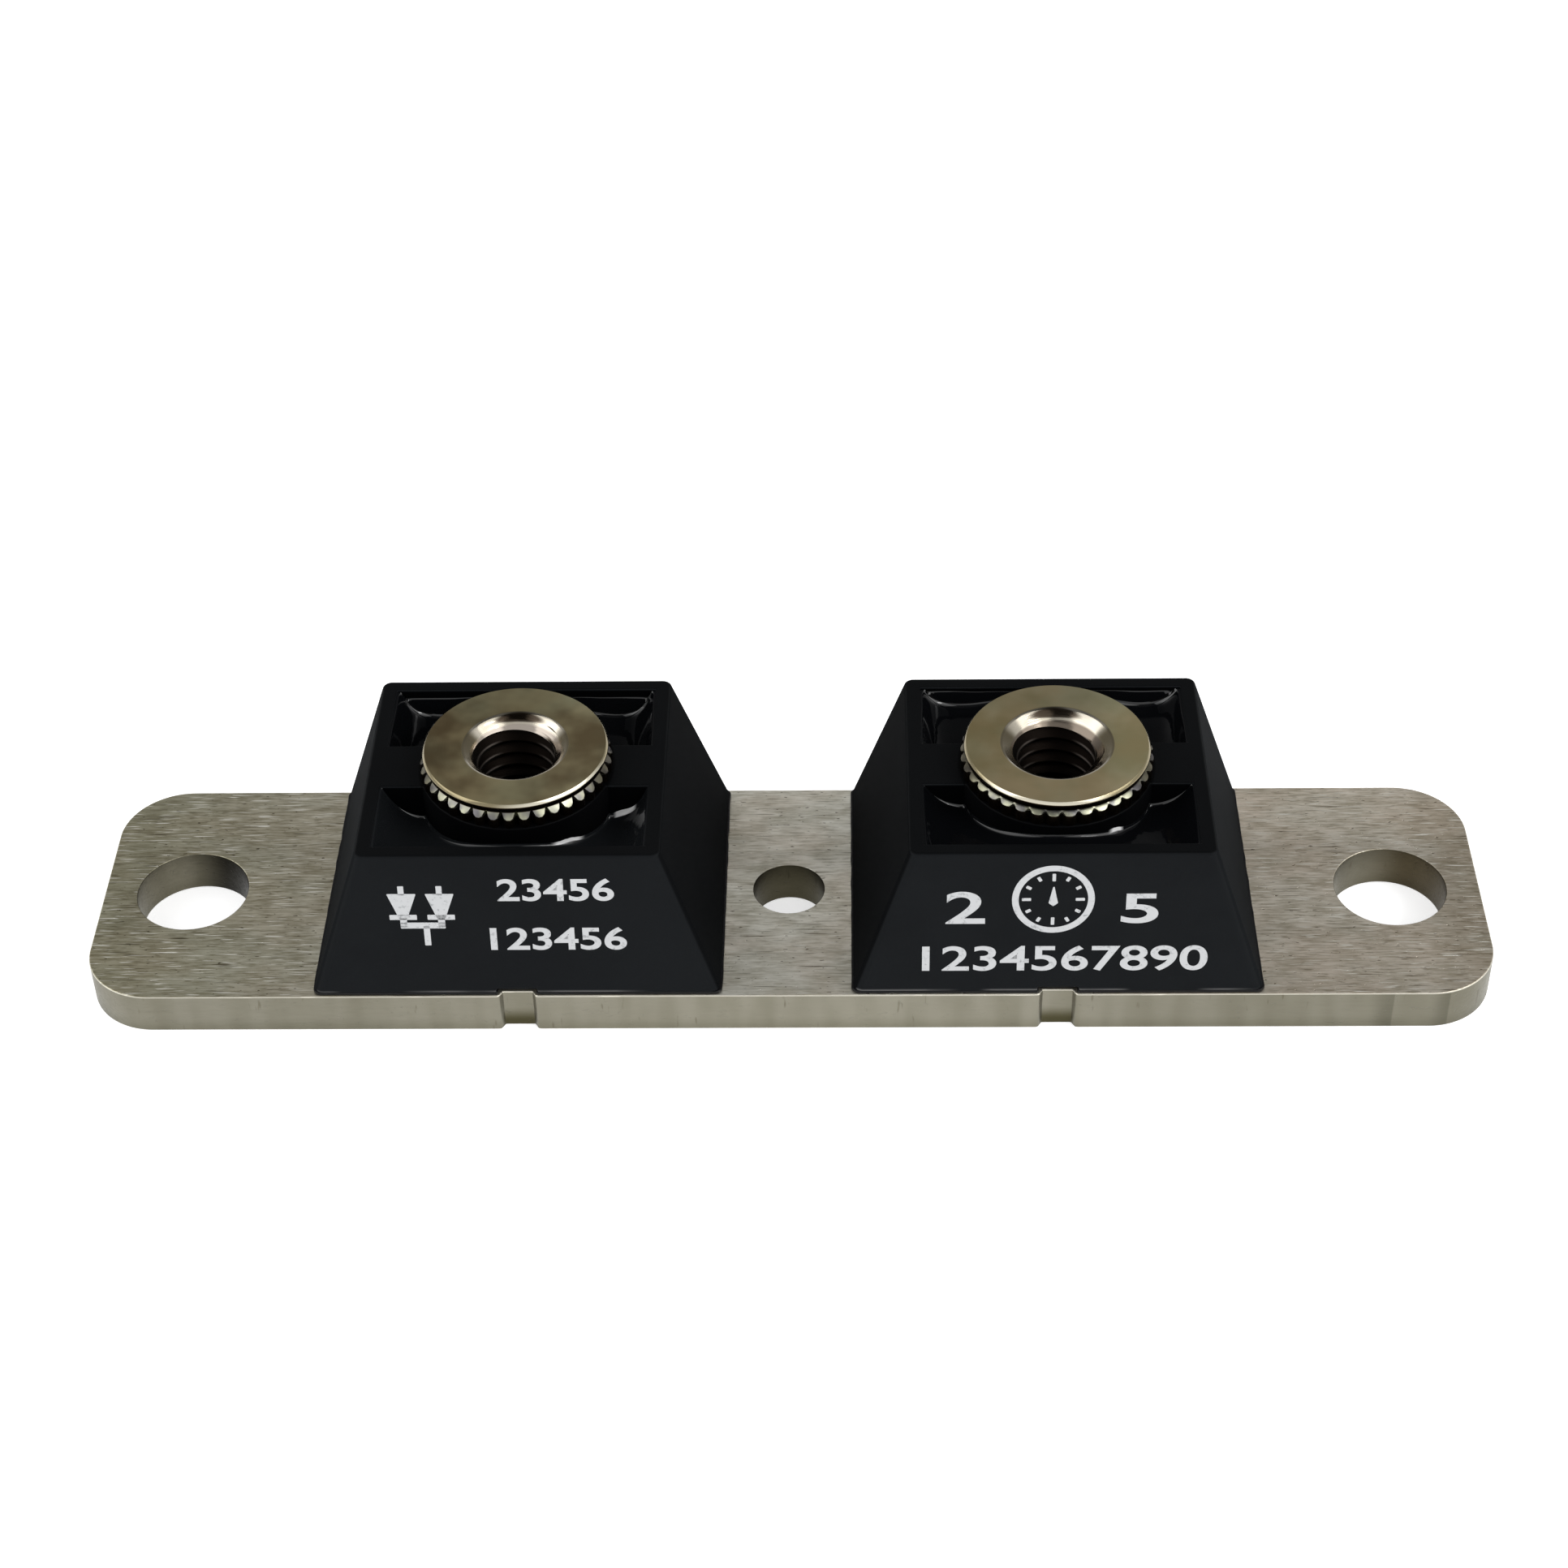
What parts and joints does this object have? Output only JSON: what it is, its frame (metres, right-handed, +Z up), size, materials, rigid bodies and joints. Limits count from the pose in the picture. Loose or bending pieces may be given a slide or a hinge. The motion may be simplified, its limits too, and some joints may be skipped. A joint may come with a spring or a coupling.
{
  "type": "schottky rectifier module",
  "caption": "Twin-tower power Schottky rectifier module: plated base bar with mounting holes and two potted towers with threaded terminals.",
  "frame": {"origin": "middle of the base bar's underside", "axes": "+X along the bar from the left tower to the right tower, +Y to the rear, +Z up out of the terminals"},
  "size_m": [0.0918, 0.0204, 0.0156],
  "materials": {
    "plated_copper": "nickel plated, brushed along its length",
    "moulded_shell": "moulded, fine grain",
    "plated_nut": "nickel plated, turned and knurled",
    "copper_strap": "bare copper strip",
    "silicon_die": "metallised silicon",
    "solder": "reflowed",
    "adhesive": "glossy bead",
    "silicone_gel": "clear soft gel",
    "epoxy": "poured, glossy"
  },
  "bodies": {
    "root": {"base_plate": "plated_copper", "left_housing": "moulded_shell", "left_terminal_nut": "plated_nut", "left_lead_strap": "copper_strap", "left_die_inner": "silicon_die", "left_die_outer": "silicon_die", "left_base_solder": "solder", "left_top_solder": "solder", "left_foot_seal": "adhesive", "left_junction_gel": "silicone_gel", "left_potting": "epoxy", "right_housing": "moulded_shell", "right_terminal_nut": "plated_nut", "right_lead_strap": "copper_strap", "right_die_inner": "silicon_die", "right_die_outer": "silicon_die", "right_base_solder": "solder", "right_top_solder": "solder", "right_foot_seal": "adhesive", "right_junction_gel": "silicone_gel", "right_potting": "epoxy"}
  },
  "joints": []
}
